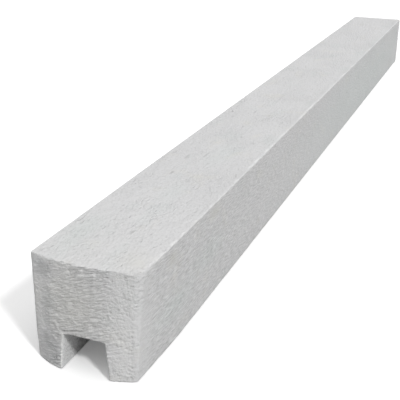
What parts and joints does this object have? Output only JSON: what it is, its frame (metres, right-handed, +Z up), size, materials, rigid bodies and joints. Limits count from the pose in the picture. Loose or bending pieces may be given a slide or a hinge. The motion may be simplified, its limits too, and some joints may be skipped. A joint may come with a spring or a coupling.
{
  "type": "concrete fence post",
  "caption": "Precast concrete end post for a panel fence, lying on its grooved face: a square shaft with a drafted panel groove, a bowed head and a plain foot.",
  "frame": {"origin": "on the ground below the middle of the post, as it lies on its grooved face", "axes": "+X across the post towards its narrow lip, +Y along it from head to foot, +Z up to its rear face"},
  "size_m": [0.13, 1.7495, 0.12],
  "materials": {
    "concrete": "matte"
  },
  "bodies": {
    "root": {"post": "concrete"}
  },
  "joints": []
}
